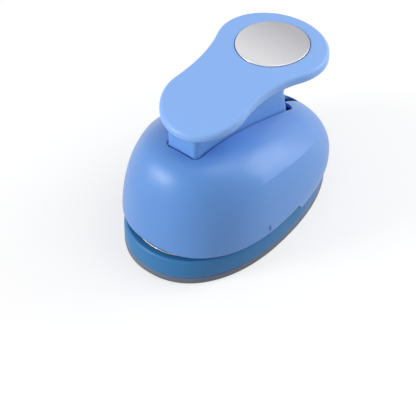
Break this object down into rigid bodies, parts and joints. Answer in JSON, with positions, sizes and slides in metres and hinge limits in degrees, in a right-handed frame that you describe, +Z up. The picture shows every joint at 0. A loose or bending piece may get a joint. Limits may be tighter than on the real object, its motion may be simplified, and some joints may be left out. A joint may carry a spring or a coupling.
{
  "type": "circle paper punch",
  "caption": "Lever-operated paper punch that cuts a circle: domed egg-shaped housing on a flat base, arched press lever with a round inset disc, front throat for paper, round die.",
  "frame": {"origin": "on the surface the punch stands on, under the centre of its bounding box", "axes": "+X to the right side, +Y to the back, where the wide end of the lever is, +Z up; the paper goes in from the front, at -Y"},
  "size_m": [0.096, 0.1477, 0.1007],
  "materials": {
    "shell_blue_plastic": "semi-gloss mid blue",
    "lever_blue_plastic": "semi-gloss light blue",
    "block_blue_plastic": "satin blue",
    "base_blue_plastic": "satin dark blue",
    "foot_grey_plastic": "fine matt grain, grey",
    "disc_silver": "flat silver lacquer",
    "bright_steel": "ground and plated",
    "dark_steel": "dark zinc plated",
    "cast_alloy": "die cast, bead blasted",
    "white_slide_plastic": "natural moulded"
  },
  "bodies": {
    "housing": {"upper_shell": "shell_blue_plastic", "base_shell": "base_blue_plastic", "bottom_cover": "foot_grey_plastic", "die_plate": "bright_steel", "slot_spacer": "dark_steel", "guide_plate": "bright_steel", "guide_ring": "cast_alloy", "guide_post_1": "bright_steel", "guide_post_2": "bright_steel", "guide_post_3": "bright_steel", "guide_post_4": "bright_steel", "frame_rivet_1": "bright_steel", "frame_rivet_2": "bright_steel", "frame_rivet_3": "bright_steel", "frame_rivet_4": "bright_steel", "base_screw_1": "dark_steel", "base_screw_2": "dark_steel", "shell_screw_1": "dark_steel", "shell_screw_2": "dark_steel", "shell_nose_screw_1": "dark_steel", "shell_nose_screw_2": "dark_steel", "bracket_screw_1": "dark_steel", "bracket_screw_2": "dark_steel", "pivot_bracket": "cast_alloy", "pivot_pin": "bright_steel", "pivot_clip_left": "dark_steel", "pivot_clip_right": "dark_steel", "pivot_washer_left": "white_slide_plastic", "pivot_washer_right": "white_slide_plastic", "return_spring_1": "bright_steel", "return_spring_2": "bright_steel", "return_spring_3": "bright_steel", "return_spring_4": "bright_steel"},
    "lever": {"lever_plate": "lever_blue_plastic", "label_disc": "disc_silver", "lever_block": "block_blue_plastic", "lever_screw_1": "dark_steel", "lever_screw_2": "dark_steel", "lever_screw_3": "dark_steel", "roller_axle": "bright_steel"},
    "roller": {"press_roller": "bright_steel"},
    "punch": {"plunger": "white_slide_plastic", "wear_pad": "bright_steel", "cutter": "bright_steel", "cutter_screw_1": "dark_steel", "cutter_screw_2": "dark_steel", "cutter_screw_3": "dark_steel"}
  },
  "joints": [
    {"name": "lever_pivot", "type": "hinge", "parent": "housing", "child": "lever", "pos_m": [0, -0.04, 0.058], "axis": [-1, 0, 0], "range_deg": [0, 15], "stiffness_Nm_per_rad": 1.5, "springref_deg": -8.59},
    {"name": "roller_spin", "type": "hinge", "parent": "lever", "child": "roller", "pos_m": [0, -0.02, 0.0608], "axis": [1, 0, 0], "continuous": true},
    {"name": "punch_slide", "type": "slide", "parent": "housing", "child": "punch", "axis": [0, 0, -1], "range_m": [0, 0.0053], "deforming": ["return_spring_1", "return_spring_2", "return_spring_3", "return_spring_4"]}
  ],
  "couplings": [
    {"joint": "punch_slide", "follows": "lever_pivot", "m_per_rad": 0.02}
  ]
}
